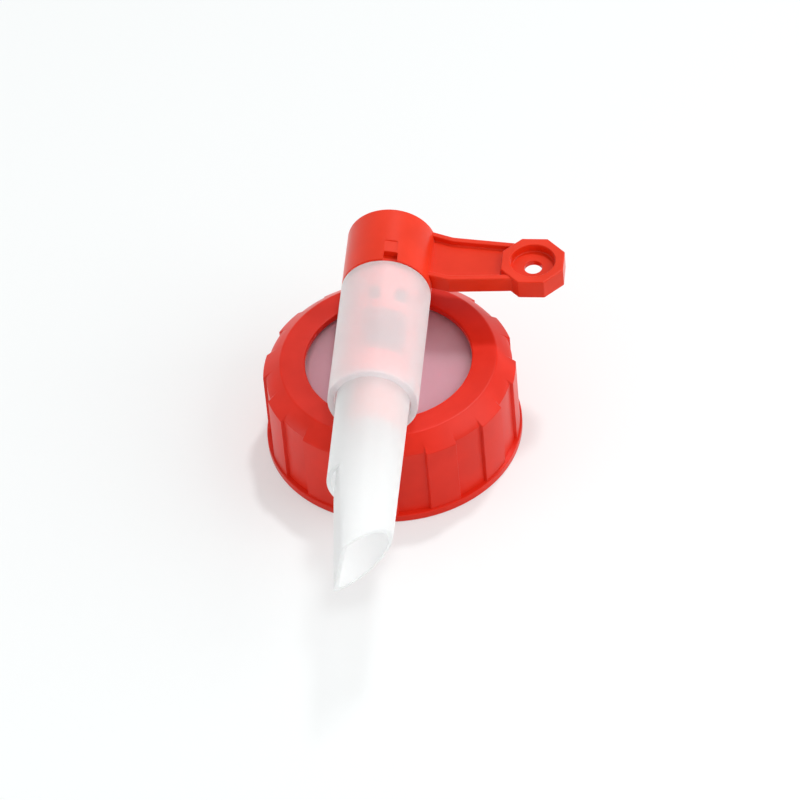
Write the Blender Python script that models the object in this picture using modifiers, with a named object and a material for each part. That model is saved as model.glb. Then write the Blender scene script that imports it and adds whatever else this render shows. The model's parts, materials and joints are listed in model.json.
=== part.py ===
"""Jerrycan tap: a screw cap that carries a lever operated plug valve with a pouring spout.

Five mouldings make the tap. The screw cap clamps the flange of the tap body to the neck
of the can, with a gasket between. The plug turns in the barrel of the body, its lever is
moulded with it, and the spout is pushed over the plug's lower end.

World axes: Z is the axis of the neck, the barrel points along -Y and the lever lies
along +X, the closed position. The origin is the middle of the object's footprint.
Barrel coordinates: x to the side, y away from the can and z forward along the barrel.
"""

import math

import bmesh
import bpy
from mathutils import Matrix, Vector

MM = 0.001

# Fits between separate pieces
FIT = 0.3 * MM
TRIM = 4.0 * MM
SINK = 1.0 * MM

# Screw cap, sized from the 61 mm thread of the neck
NECK_THREAD_RADIUS = 30.5 * MM
NECK_PLAY = 0.5 * MM
THREAD_HEIGHT = 1.4 * MM
CAP_WALL = 3.0 * MM
CAP_HEIGHT = 28.2 * MM
CAP_TOP_WALL = 2.0 * MM
CAP_SHOULDER_WIDTH = 5.0 * MM
CAP_SHOULDER_DROP = 4.4 * MM
CAP_HOLE_OVERLAP = 6.0 * MM
CAP_TURN = math.radians(9.2)
GRIP_COUNT = 12
GRIP_DEPTH = 0.9 * MM
LIP_WIDTH = 0.6 * MM
LIP_HEIGHT = 2.2 * MM
LIP_SLOPE = 0.5 * MM
BEAD_HEIGHT = 0.8 * MM
BEAD_GRIP = 0.5 * MM
SEAT_PLAY = 0.4 * MM
CAP_EDGE_ROUND = 0.5 * MM

# Flange of the tap body and the gasket under it
DISC_PLAY = 0.6 * MM
DISC_THICKNESS = 2.5 * MM
GASKET_THICKNESS = 2.1 * MM
GASKET_WIDTH = 3.9 * MM
LOCATING_RING_DEPTH = 3.4 * MM
LOCATING_RING_WALL = 1.4 * MM

# Barrel of the tap body
BARREL_RADIUS = 12.35 * MM
BARREL_WALL = 2.05 * MM
BARREL_BACK = 12.5 * MM
BARREL_FRONT = 30.4 * MM
BARREL_LIFT = 0.85 * MM
BARREL_SHIFT = -0.75 * MM
BARREL_RIM_ROUND = 0.4 * MM
PEDESTAL_WALL = 1.6 * MM
PEDESTAL_GAP = 2.5 * MM
PEDESTAL_ROUND = 4.5 * MM

# Plug, its ports and the two channels that meet the spout's
PORT_TURN = math.radians(11.5)
PORT_WINDOW_EDGE = 1.1 * MM
PORT_WINDOW_BACK = 4.2 * MM
AIR_PORT_WIDTH = 3.2 * MM
AIR_PORT_LENGTH = 4.6 * MM
AIR_PORT_BACK = 4.0 * MM
AIR_PORT_SPREAD = math.radians(20.7)
INLET_MARGIN = 0.8 * MM
PLUG_CROSS_WALL = 1.4 * MM
SPIGOT_WALL = 1.4 * MM
SPIGOT_LENGTH = 16.5 * MM

# End cap at the back of the plug
END_CAP_LENGTH = 19.9 * MM
END_CAP_WALL = 2.1 * MM
END_CAP_ROUND = 0.5 * MM
NOTCH_WIDTH = 3.9 * MM
NOTCH_LENGTH = 3.2 * MM
NOTCH_DEPTH = 1.3 * MM

# Lever, seen from above: its reach runs along +X, its sides lie across the barrel
LEVER_REACH = 40.05 * MM
LEVER_OFFSET = 1.65 * MM
LEVER_TOP = 4.4 * MM
HEAD_ACROSS_FLATS = 17.2 * MM
HEAD_THICKNESS = 6.0 * MM
HEAD_WEB = 1.7 * MM
EYE_RECESS_RADIUS = 6.2 * MM
EYE_RECESS_DEPTH = 2.6 * MM
EYE_HOLE_RADIUS = 2.45 * MM
ARM_STEP = 0.4 * MM
ARM_THICKNESS = 5.0 * MM
ARM_FLOOR_DEPTH = 1.6 * MM
ARM_END_WIDTH = 13.2 * MM
ARM_WAIST_WIDTH = 16.7 * MM
ARM_FLARE = 2.2 * MM
ARM_NEAR_DRAW = 1.7 * MM
ARM_WAIST_START = 5.0 * MM
ARM_SWEEP = math.radians(2.2)
ARM_RIM = 1.7 * MM
LEVER_EDGE_ROUND = 0.3 * MM

# Spout tube
SPOUT_PLAY = 0.35 * MM
SPOUT_NARROWING = 0.35 * MM
SPOUT_WALL = 1.4 * MM
SPOUT_SEAT = 2.6 * MM
SPOUT_ROUND_LENGTH = 32.7 * MM
SPOUT_FLAT_LENGTH = 32.2 * MM
AIR_CHANNEL_DEPTH = 1.35 * MM
SPOUT_FLAT_SLOPE = math.radians(5.7)
SPOUT_BEVEL = math.radians(45)
PARTITION = 1.3 * MM

# Number of facets round each turned form
CAP_FACETS = 72
DISC_FACETS = 64
BARREL_FACETS = 48
EYE_FACETS = 32
ROUND_FACETS = 2

# Cap, flange and gasket sizes that follow from the neck
CAP_BORE = NECK_THREAD_RADIUS + NECK_PLAY
GRIP_RADIUS = CAP_BORE + CAP_WALL + GRIP_DEPTH
LIP_RADIUS = GRIP_RADIUS + LIP_WIDTH
CAP_TOP_RADIUS = GRIP_RADIUS - CAP_SHOULDER_WIDTH
DISC_RADIUS = CAP_BORE - THREAD_HEIGHT - DISC_PLAY
CAP_HOLE_RADIUS = DISC_RADIUS - CAP_HOLE_OVERLAP
SEAT_RADIUS = DISC_RADIUS + SEAT_PLAY
BEAD_RADIUS = DISC_RADIUS - BEAD_GRIP
GASKET_RADIUS = BEAD_RADIUS - FIT
GASKET_INNER_RADIUS = GASKET_RADIUS - GASKET_WIDTH

# Heights from the rest plane up
DISC_TOP = CAP_HEIGHT - CAP_TOP_WALL - FIT
DISC_BOTTOM = DISC_TOP - DISC_THICKNESS
BEAD_TOP = DISC_BOTTOM - FIT
GASKET_TOP = DISC_BOTTOM - FIT
AXIS_HEIGHT = CAP_HEIGHT + BARREL_LIFT + BARREL_RADIUS

# The end cap is flush with the barrel, and the spout stands inside the barrel's bore
BARREL_BORE = BARREL_RADIUS - BARREL_WALL
PLUG_RADIUS = BARREL_BORE - FIT
END_CAP_RADIUS = BARREL_RADIUS
SPOUT_ROOT_RADIUS = BARREL_BORE - SPOUT_PLAY
SPOUT_TIP_RADIUS = SPOUT_ROOT_RADIUS - SPOUT_NARROWING
CHANNEL_RADIUS = SPOUT_ROOT_RADIUS - SPOUT_WALL
SPOUT_FLAT_HEIGHT = CHANNEL_RADIUS - AIR_CHANNEL_DEPTH
LIQUID_FLAT = SPOUT_FLAT_HEIGHT - PARTITION
SPIGOT_RADIUS = CHANNEL_RADIUS - FIT
SPIGOT_FLAT = LIQUID_FLAT - FIT
PLUG_BORE_RADIUS = SPIGOT_RADIUS - SPIGOT_WALL
PORT_WINDOW_WIDTH = 2 * (PLUG_BORE_RADIUS - PORT_WINDOW_EDGE)

# Places along the barrel, forward of the neck's axis
SPOUT_ROOT = BARREL_FRONT - SPOUT_SEAT
SPOUT_STEP = SPOUT_ROOT + SPOUT_ROUND_LENGTH
SPOUT_TIP = SPOUT_STEP + SPOUT_FLAT_LENGTH
PLUG_FRONT = SPOUT_ROOT - FIT
SPIGOT_FRONT = PLUG_FRONT + SPIGOT_LENGTH
END_CAP_FRONT = -BARREL_BACK - FIT
END_CAP_BACK = END_CAP_FRONT - END_CAP_LENGTH
PEDESTAL_FRONT = CAP_HOLE_RADIUS - PEDESTAL_GAP
PEDESTAL_BACK = -AIR_PORT_BACK - PEDESTAL_WALL
PORT_WINDOW_FRONT = PEDESTAL_FRONT - PEDESTAL_WALL + INLET_MARGIN
LIQUID_BACK = PORT_WINDOW_BACK - FIT
AIR_CHAMBER_FRONT = LIQUID_BACK - PLUG_CROSS_WALL
AIR_CHAMBER_BACK = -AIR_PORT_BACK - PLUG_CROSS_WALL

# Where the lever's middle line lies behind the neck's axis, and its heights
LEVER_LINE = -END_CAP_FRONT + END_CAP_LENGTH / 2 - LEVER_OFFSET
ARM_TOP = LEVER_TOP - ARM_STEP

# The middle of the footprint, measured from the axis of the neck
FOOTPRINT_X = (BARREL_SHIFT + LEVER_REACH + HEAD_ACROSS_FLATS / 2 - LIP_RADIUS) / 2
FOOTPRINT_Y = (max(LIP_RADIUS, -END_CAP_BACK) - SPOUT_TIP) / 2

# Frames in which the pieces are drawn
NECK_FRAME = Matrix.Translation((-FOOTPRINT_X, -FOOTPRINT_Y, 0))
PEDESTAL_FRAME = NECK_FRAME @ Matrix.Translation((BARREL_SHIFT, 0, 0))
LEVER_FRAME = PEDESTAL_FRAME @ Matrix.Translation((0, 0, AXIS_HEIGHT))
BARREL_FRAME = LEVER_FRAME @ Matrix.Rotation(math.pi / 2, 4, "X")
PORT_FRAME = BARREL_FRAME @ Matrix.Rotation(-PORT_TURN, 4, "Z")
SIDE_FRAME = PORT_FRAME @ Matrix.Rotation(math.pi / 2, 4, "X")

# Half a facet's turn sets the facets of a bore between those of the wall around it
HALF_FACET = Matrix.Rotation(math.pi / BARREL_FACETS, 4, "Z")


def clear_scene():
    """Remove every object, so the script can be run again in an open file."""
    for item in list(bpy.data.objects):
        bpy.data.objects.remove(item, do_unlink=True)


def new_collection(name):
    """Return an empty collection of this name, linked to the scene."""
    old = bpy.data.collections.get(name)
    if old:
        bpy.data.collections.remove(old)
    collection = bpy.data.collections.new(name)
    bpy.context.scene.collection.children.link(collection)
    return collection


def plastic(name, colour, roughness, transmission=0.0):
    """Return the material of one moulding."""
    material = bpy.data.materials.new(name)
    material.use_nodes = True
    shader = material.node_tree.nodes["Principled BSDF"]
    shader.inputs["Base Color"].default_value = (*colour, 1.0)
    shader.inputs["Roughness"].default_value = roughness
    shader.inputs["Metallic"].default_value = 0.0
    shader.inputs["Transmission Weight"].default_value = transmission
    return material


def corner_arc(before, corner, after, radius, facets=ROUND_FACETS):
    """Return the points of the arc that rounds one corner of an outline."""
    corner = Vector(corner)
    back = (Vector(before) - corner).normalized()
    on = (Vector(after) - corner).normalized()
    half = back.angle(on) / 2
    middle = corner + (back + on).normalized() * (radius / math.sin(half))
    start = corner + back * (radius / math.tan(half)) - middle
    sweep = start.angle_signed(corner + on * (radius / math.tan(half)) - middle)
    steps = [index / facets for index in range(facets + 1)]
    return [tuple(middle + Matrix.Rotation(-sweep * step, 2) @ start) for step in steps]


def rounded(outline):
    """Return a closed outline, with an arc at each corner that gives a radius as (x, y, radius)."""
    points = []
    for index, corner in enumerate(outline):
        if len(corner) == 2:
            points.append(corner)
            continue
        before = outline[index - 1][:2]
        after = outline[(index + 1) % len(outline)][:2]
        points += corner_arc(before, corner[:2], after, corner[2])
    return points


def add_object(name, mesh, frame, collection):
    """Link a mesh to a collection as an object that stands in a frame."""
    item = bpy.data.objects.new(name, mesh)
    item.matrix_world = frame
    collection.objects.link(item)
    return item


def turned(name, profile, frame, collection, facets):
    """Turn a profile of (radius, height) about the frame's Z axis; a closed one makes a ring."""
    mesh = bpy.data.meshes.new(name)
    count = len(profile)
    closed = profile[0][0] > 0
    edges = [(index, index + 1) for index in range(count - 1)] + ([(count - 1, 0)] if closed else [])
    mesh.from_pydata([(radius, 0, height) for radius, height in profile], edges, [])
    item = add_object(name, mesh, frame, collection)
    screw = item.modifiers.new("Turn", "SCREW")
    screw.steps = facets
    screw.render_steps = facets
    screw.use_merge_vertices = True
    screw.merge_threshold = 0.002 * MM
    return item


def cylinder(name, radius, start, end, frame, collection, facets=BARREL_FACETS):
    """Return a solid cylinder along the frame's Z axis."""
    profile = [(0, end), (radius, end), (radius, start), (0, start)]
    return turned(name, profile, frame, collection, facets)


def plate(name, outlines, low, high, frame, collection, edge=0.0):
    """Raise flat outlines in the frame's XY plane into a solid between two heights."""
    curve = bpy.data.curves.new(name, "CURVE")
    curve.dimensions = "2D"
    curve.fill_mode = "BOTH"
    curve.extrude = (high - low) / 2 - edge
    curve.bevel_depth = edge
    curve.bevel_resolution = 1
    curve.offset = -edge
    for outline in outlines:
        spline = curve.splines.new("POLY")
        spline.points.add(len(outline) - 1)
        spline.use_cyclic_u = True
        for point, place in zip(spline.points, outline):
            point.co = (place[0], place[1], 0, 1)
    guide = bpy.data.objects.new(name, curve)
    collection.objects.link(guide)
    bpy.context.view_layer.update()
    evaluated = guide.evaluated_get(bpy.context.evaluated_depsgraph_get())
    mesh = bpy.data.meshes.new_from_object(evaluated)
    bpy.data.objects.remove(guide, do_unlink=True)
    work = bmesh.new()
    work.from_mesh(mesh)
    bmesh.ops.remove_doubles(work, verts=work.verts, dist=0.001 * MM)
    bmesh.ops.recalc_face_normals(work, faces=work.faces)
    work.to_mesh(mesh)
    work.free()
    middle = Matrix.Translation((0, 0, (low + high) / 2))
    return add_object(name, mesh, frame @ middle, collection)


def block(name, low, high, frame, collection):
    """Return a box between two corners in a frame."""
    low = Vector(low)
    high = Vector(high)
    mesh = bpy.data.meshes.new(name)
    work = bmesh.new()
    bmesh.ops.create_cube(work, size=1.0)
    bmesh.ops.scale(work, vec=high - low, verts=work.verts)
    bmesh.ops.translate(work, vec=(low + high) / 2, verts=work.verts)
    work.to_mesh(mesh)
    work.free()
    return add_object(name, mesh, frame, collection)


def combine(item, operation, *others):
    """Add a Boolean modifier for each of the other solids."""
    for other in others:
        boolean = item.modifiers.new(other.name, "BOOLEAN")
        boolean.operation = operation
        boolean.object = other
        other.hide_render = True
        other.display_type = "WIRE"
    return item


def finish(item, material):
    """Apply a piece's modifiers, clean its mesh, shade it and give it its material."""
    bpy.context.view_layer.update()
    evaluated = item.evaluated_get(bpy.context.evaluated_depsgraph_get())
    mesh = bpy.data.meshes.new_from_object(evaluated)
    item.modifiers.clear()
    item.data = mesh
    mesh.name = item.name
    work = bmesh.new()
    work.from_mesh(mesh)
    bmesh.ops.remove_doubles(work, verts=work.verts, dist=0.001 * MM)
    bmesh.ops.dissolve_degenerate(work, edges=work.edges, dist=0.0005 * MM)
    bmesh.ops.triangulate(work, faces=work.faces)
    work.to_mesh(mesh)
    work.free()
    mesh.materials.clear()
    mesh.materials.append(material)
    mesh.shade_smooth()
    mesh.set_sharp_from_angle(angle=math.radians(30))
    return item


def grip_outline(index):
    """Return the outline of one sunk grip panel between two raised ones."""
    step = 2 * math.pi / CAP_FACETS
    span = CAP_FACETS // GRIP_COUNT // 2
    start = index * 2 * span * step
    angles = [start + step * turn for turn in range(span + 1)]
    inside = [(radius_point(GRIP_RADIUS - GRIP_DEPTH, angle)) for angle in angles]
    outside = [(radius_point(LIP_RADIUS + TRIM, angle)) for angle in reversed(angles)]
    return inside + outside


def radius_point(radius, angle):
    """Return the point at a radius and an angle."""
    return (radius * math.cos(angle), radius * math.sin(angle))


def screw_cap(parts, cutters):
    """The screw cap: lip, grip panels, shoulder, top ring, bore for the neck and retaining bead."""
    cap_frame = NECK_FRAME @ Matrix.Rotation(CAP_TURN, 4, "Z")
    inner_top = CAP_HEIGHT - CAP_TOP_WALL
    grip_bottom = LIP_HEIGHT + LIP_SLOPE
    profile = rounded([
        (CAP_HOLE_RADIUS, CAP_HEIGHT, CAP_EDGE_ROUND),
        (CAP_TOP_RADIUS, CAP_HEIGHT, 2 * CAP_EDGE_ROUND),
        (GRIP_RADIUS, CAP_HEIGHT - CAP_SHOULDER_DROP, CAP_EDGE_ROUND),
        (GRIP_RADIUS, grip_bottom),
        (LIP_RADIUS, LIP_HEIGHT),
        (LIP_RADIUS, 0, CAP_EDGE_ROUND),
        (CAP_BORE + NECK_PLAY, 0),
        (CAP_BORE, NECK_PLAY),
        (CAP_BORE, BEAD_TOP - 2 * BEAD_HEIGHT),
        (BEAD_RADIUS, BEAD_TOP - BEAD_HEIGHT),
        (BEAD_RADIUS, BEAD_TOP),
        (SEAT_RADIUS, BEAD_TOP),
        (SEAT_RADIUS, inner_top),
        (CAP_HOLE_RADIUS, inner_top),
    ])
    cap = turned("screw_cap", profile, cap_frame, parts, CAP_FACETS)
    outlines = [grip_outline(index) for index in range(GRIP_COUNT)]
    panels = plate("grip_panels", outlines, grip_bottom + LIP_SLOPE / 2, CAP_HEIGHT + TRIM, cap_frame, cutters)
    return combine(cap, "DIFFERENCE", panels)


def neck_gasket(parts):
    """The flat ring that seals the flange of the tap body on the rim of the neck."""
    low = GASKET_TOP - GASKET_THICKNESS
    profile = [
        (GASKET_INNER_RADIUS, GASKET_TOP),
        (GASKET_RADIUS, GASKET_TOP),
        (GASKET_RADIUS, low),
        (GASKET_INNER_RADIUS, low),
    ]
    return turned("neck_gasket", profile, NECK_FRAME, parts, DISC_FACETS)


def slot_outline(left, right, back, front, radius):
    """Return a rectangle with round corners, seen from above."""
    corners = [(left, -front, radius), (right, -front, radius), (right, -back, radius), (left, -back, radius)]
    return rounded(corners)


def inlets(cutters):
    """The liquid inlet and the two air inlets, which the ports of the plug reach after half a turn."""
    low = DISC_BOTTOM - LOCATING_RING_DEPTH - TRIM
    half = PORT_WINDOW_WIDTH / 2 - INLET_MARGIN
    middle = -BARREL_BORE * math.sin(PORT_TURN)
    back = PORT_WINDOW_BACK + INLET_MARGIN
    front = PORT_WINDOW_FRONT - INLET_MARGIN
    liquid = slot_outline(middle - half, middle + half, back, front, INLET_MARGIN)
    outlines = [liquid]
    for side in (-1, 1):
        place = -BARREL_BORE * math.sin(PORT_TURN + side * AIR_PORT_SPREAD)
        reach = AIR_PORT_WIDTH / 2
        outlines.append(slot_outline(place - reach, place + reach, -AIR_PORT_BACK,
                                     AIR_PORT_LENGTH - AIR_PORT_BACK, INLET_MARGIN))
    return plate("inlets", outlines, low, AXIS_HEIGHT - 2 * SINK, PEDESTAL_FRAME, cutters)


def tap_body(parts, cutters):
    """The clear moulding: flange, locating ring, pedestal and barrel, with the inlets through them."""
    ring_radius = GASKET_INNER_RADIUS - FIT
    ring_bottom = DISC_BOTTOM - LOCATING_RING_DEPTH
    ring_inside = ring_radius - LOCATING_RING_WALL
    body = turned("tap_body", [
        (0, DISC_TOP),
        (DISC_RADIUS, DISC_TOP),
        (DISC_RADIUS, DISC_BOTTOM),
        (ring_radius, DISC_BOTTOM),
        (ring_radius, ring_bottom),
        (ring_inside, ring_bottom),
        (ring_inside, DISC_BOTTOM),
        (0, DISC_BOTTOM),
    ], NECK_FRAME, parts, DISC_FACETS)
    half = PORT_WINDOW_WIDTH / 2 - INLET_MARGIN + BARREL_BORE * math.sin(PORT_TURN) + PEDESTAL_WALL
    outline = slot_outline(-half, half, PEDESTAL_BACK, PEDESTAL_FRONT, PEDESTAL_ROUND)
    pedestal = plate("pedestal", [outline], DISC_TOP - SINK, AXIS_HEIGHT - SINK, PEDESTAL_FRAME, cutters)
    barrel = turned("barrel", rounded([
        (0, BARREL_FRONT),
        (BARREL_RADIUS, BARREL_FRONT, BARREL_RIM_ROUND),
        (BARREL_RADIUS, -BARREL_BACK, BARREL_RIM_ROUND),
        (0, -BARREL_BACK),
    ]), BARREL_FRAME, cutters, BARREL_FACETS)
    bore = cylinder("barrel_bore", BARREL_BORE, -BARREL_BACK - TRIM, BARREL_FRONT + TRIM,
                    BARREL_FRAME @ HALF_FACET, cutters)
    combine(body, "UNION", pedestal, barrel)
    return combine(body, "DIFFERENCE", bore, inlets(cutters))


def channel(name, radius, start, end, outline, cutters):
    """Return the part of a round channel that lies inside a side view outline."""
    tube = cylinder(name, radius, start, end, PORT_FRAME, cutters)
    window = plate(name + "_side", [outline], -radius - TRIM, radius + TRIM, SIDE_FRAME, cutters)
    return combine(tube, "INTERSECT", window)


def side_box(left, right, start, end):
    """Return a side view outline that runs past both ends of a channel."""
    return [(left, start - TRIM), (right, start - TRIM), (right, end + TRIM), (left, end + TRIM)]


def plug_channels(cutters):
    """The plug's liquid channel, its air channel beside it and the chamber the air ports open into."""
    wide = CHANNEL_RADIUS + TRIM
    beyond = SPIGOT_FRONT + TRIM
    liquid_side = side_box(SPIGOT_WALL - SPIGOT_FLAT, wide, LIQUID_BACK, beyond)
    liquid = channel("plug_liquid", PLUG_BORE_RADIUS, LIQUID_BACK, beyond, liquid_side, cutters)
    air_side = side_box(-wide, -SPOUT_FLAT_HEIGHT, AIR_CHAMBER_BACK, beyond)
    air = channel("plug_air", CHANNEL_RADIUS, AIR_CHAMBER_BACK, beyond, air_side, cutters)
    chamber = cylinder("air_chamber", SPIGOT_RADIUS, AIR_CHAMBER_BACK + FIT, AIR_CHAMBER_FRONT, PORT_FRAME,
                       cutters)
    return liquid, air, chamber


def plug_ports(cutters):
    """The liquid window and the two air ports through the wall of the plug."""
    half = PORT_WINDOW_WIDTH / 2
    low = math.sqrt(PLUG_BORE_RADIUS ** 2 - half ** 2) - FIT
    ports = [block("liquid_window", (-half, low, PORT_WINDOW_BACK),
                   (half, PLUG_RADIUS + TRIM, PORT_WINDOW_FRONT), PORT_FRAME, cutters)]
    for side in (-1, 1):
        frame = PORT_FRAME @ Matrix.Rotation(side * AIR_PORT_SPREAD, 4, "Z")
        reach = AIR_PORT_WIDTH / 2
        ports.append(block(f"air_port_{side}", (-reach, CHANNEL_RADIUS - SINK, -AIR_PORT_BACK),
                           (reach, PLUG_RADIUS + TRIM, AIR_PORT_LENGTH - AIR_PORT_BACK), frame, cutters))
    return ports


def end_cap_cuts(cutters):
    """The hollow in the back of the end cap and the notch at its front edge."""
    inside = END_CAP_RADIUS - END_CAP_WALL
    step = END_CAP_FRONT - END_CAP_WALL
    floor = AIR_CHAMBER_BACK - PLUG_CROSS_WALL
    narrow = CHANNEL_RADIUS - FIT
    hollow = turned("end_cap_hollow", [
        (0, floor),
        (narrow, floor),
        (narrow, step),
        (inside, step),
        (inside, END_CAP_BACK - TRIM),
        (0, END_CAP_BACK - TRIM),
    ], PORT_FRAME, cutters, BARREL_FACETS)
    half = NOTCH_WIDTH / 2
    notch = block("notch", (-half, END_CAP_RADIUS - NOTCH_DEPTH, END_CAP_FRONT - NOTCH_LENGTH),
                  (half, END_CAP_RADIUS + TRIM, END_CAP_FRONT + FIT / 2), PORT_FRAME, cutters)
    return hollow, notch


def arm_outline(margin, start, end):
    """Return the outline of the lever's arm from above, drawn in by a margin on its long sides."""
    waist = END_CAP_RADIUS + ARM_WAIST_START
    end_half = ARM_END_WIDTH / 2 - margin
    waist_half = ARM_WAIST_WIDTH / 2 - margin
    waist_line = LEVER_LINE + math.tan(ARM_SWEEP) * (LEVER_REACH - waist)
    near_root = waist_line - waist_half + ARM_NEAR_DRAW
    far_root = waist_line + waist_half + ARM_FLARE
    return rounded([
        (start, near_root),
        (END_CAP_RADIUS - SINK, near_root),
        (waist, waist_line - waist_half),
        (end, LEVER_LINE - end_half),
        (end, LEVER_LINE + end_half),
        (waist, waist_line + waist_half, 3 * ARM_FLARE),
        (END_CAP_RADIUS - SINK, far_root),
        (start, far_root),
    ])


def lever_arm(cutters):
    """The arm: a plate with a raised rim along each side, above and below its web."""
    start = END_CAP_RADIUS - END_CAP_WALL - SINK
    bottom = ARM_TOP - ARM_THICKNESS
    arm = plate("arm", [arm_outline(0, start, LEVER_REACH)], bottom, ARM_TOP, LEVER_FRAME, cutters,
                LEVER_EDGE_ROUND)
    inner = arm_outline(ARM_RIM, start - SINK, LEVER_REACH + SINK)
    floor = plate("arm_floor", [inner], ARM_TOP - ARM_FLOOR_DEPTH, ARM_TOP + TRIM, LEVER_FRAME, cutters)
    under = plate("arm_underside", [inner], bottom - TRIM, bottom + ARM_FLOOR_DEPTH, LEVER_FRAME, cutters)
    return combine(arm, "DIFFERENCE", floor, under)


def lever_head(cutters):
    """The eight sided head with its sunk eye."""
    corner = HEAD_ACROSS_FLATS / 2 / math.cos(math.pi / 8)
    outline = [radius_point(corner, math.pi / 8 + math.pi / 4 * index) for index in range(8)]
    frame = LEVER_FRAME @ Matrix.Translation((LEVER_REACH, LEVER_LINE, LEVER_TOP))
    head = plate("head", [outline], -HEAD_THICKNESS, 0, frame, cutters, LEVER_EDGE_ROUND)
    web_bottom = -EYE_RECESS_DEPTH - HEAD_WEB
    eye = turned("eye", [
        (0, TRIM),
        (EYE_RECESS_RADIUS, TRIM),
        (EYE_RECESS_RADIUS, -EYE_RECESS_DEPTH),
        (EYE_HOLE_RADIUS, -EYE_RECESS_DEPTH),
        (EYE_HOLE_RADIUS, web_bottom),
        (EYE_RECESS_RADIUS, web_bottom),
        (EYE_RECESS_RADIUS, -HEAD_THICKNESS - TRIM),
        (0, -HEAD_THICKNESS - TRIM),
    ], frame, cutters, EYE_FACETS)
    return head, eye


def lever_plug(parts, cutters):
    """The plug with its ports and channels, and the end cap and lever moulded with it."""
    plug = turned("lever_plug", rounded([
        (0, SPIGOT_FRONT),
        (SPIGOT_RADIUS, SPIGOT_FRONT, END_CAP_ROUND),
        (SPIGOT_RADIUS, PLUG_FRONT),
        (PLUG_RADIUS, PLUG_FRONT),
        (PLUG_RADIUS, END_CAP_FRONT),
        (END_CAP_RADIUS, END_CAP_FRONT),
        (END_CAP_RADIUS, END_CAP_BACK, END_CAP_ROUND),
        (0, END_CAP_BACK),
    ]), BARREL_FRAME, parts, BARREL_FACETS)
    head, eye = lever_head(cutters)
    hollow, notch = end_cap_cuts(cutters)
    spigot_back = PLUG_FRONT + FIT / 2
    spigot_side = [(-PLUG_RADIUS - TRIM, spigot_back), (-SPIGOT_FLAT, spigot_back),
                   (-SPIGOT_FLAT, SPIGOT_FRONT + TRIM), (-PLUG_RADIUS - TRIM, SPIGOT_FRONT + TRIM)]
    spigot_flat = plate("spigot_flat", [spigot_side], -PLUG_RADIUS, PLUG_RADIUS, SIDE_FRAME, cutters)
    combine(plug, "DIFFERENCE", notch, spigot_flat, *plug_channels(cutters), *plug_ports(cutters))
    combine(plug, "UNION", lever_arm(cutters), head)
    return combine(plug, "DIFFERENCE", eye, hollow)


def flat_depth(place):
    """Return how far the spout's flat side lies from its axis at a place along it."""
    return SPOUT_FLAT_HEIGHT - math.tan(SPOUT_FLAT_SLOPE) * max(0, place - SPOUT_STEP)


def spout_tube(parts, cutters):
    """The spout: a tube with a liquid and an air channel, a step and a slanted mouth."""
    root = SPOUT_ROOT
    beyond = SPOUT_TIP + TRIM
    wide = SPOUT_ROOT_RADIUS + TRIM
    tube = turned("spout_tube", [(0, beyond), (SPOUT_TIP_RADIUS, beyond), (SPOUT_ROOT_RADIUS, root), (0, root)],
                  PORT_FRAME @ HALF_FACET, parts, BARREL_FACETS)
    past = beyond + TRIM
    liquid_side = [(-LIQUID_FLAT, root - TRIM), (wide, root - TRIM), (wide, past + TRIM),
                   (PARTITION - flat_depth(past + TRIM), past + TRIM), (-LIQUID_FLAT, SPOUT_STEP)]
    liquid = channel("spout_liquid", CHANNEL_RADIUS, root - SINK, past, liquid_side, cutters)
    air_side = side_box(-wide, -SPOUT_FLAT_HEIGHT, root, SPOUT_STEP)
    air = channel("spout_air", CHANNEL_RADIUS, root - SINK, SPOUT_STEP + SINK, air_side, cutters)
    tip = flat_depth(SPOUT_TIP)
    bevel_end = SPOUT_TIP - (wide + tip) / math.tan(SPOUT_BEVEL)
    mouth = [(-wide, SPOUT_STEP), (-SPOUT_FLAT_HEIGHT, SPOUT_STEP), (-tip, SPOUT_TIP), (wide, bevel_end),
             (wide, beyond + TRIM), (-wide, beyond + TRIM)]
    trim = plate("spout_mouth", [mouth], -wide, wide, SIDE_FRAME, cutters)
    return combine(tube, "DIFFERENCE", liquid, air, trim)


def build():
    """Make the five pieces of the tap."""
    clear_scene()
    parts = new_collection("jerrycan_tap")
    cutters = new_collection("cutters")
    red = (0.80, 0.050, 0.025)
    pieces = [
        (screw_cap(parts, cutters), plastic("red_polyethylene_cap", red, 0.42)),
        (neck_gasket(parts), plastic("grey_foam_gasket", (0.55, 0.55, 0.53), 0.85)),
        (tap_body(parts, cutters), plastic("clear_polypropylene_body", (0.86, 0.80, 0.80), 0.35, 0.55)),
        (lever_plug(parts, cutters), plastic("red_polyethylene_plug", red, 0.38)),
        (spout_tube(parts, cutters), plastic("natural_polyethylene_spout", (0.90, 0.90, 0.90), 0.35, 0.15)),
    ]
    for piece, material in pieces:
        finish(piece, material)


build()
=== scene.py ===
"""Looks of a jerrycan tap, as an add-on with one operator per moulding and one for the stage.

World axes, in metres: Z is the axis of the neck, the barrel points along -Y and the closed
lever lies along +X. Each moulding is drawn again here with its real edge rounds and thread.
"""

import json
import math

import bmesh
import bpy
import numpy as np
from mathutils import Matrix, Vector


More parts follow.
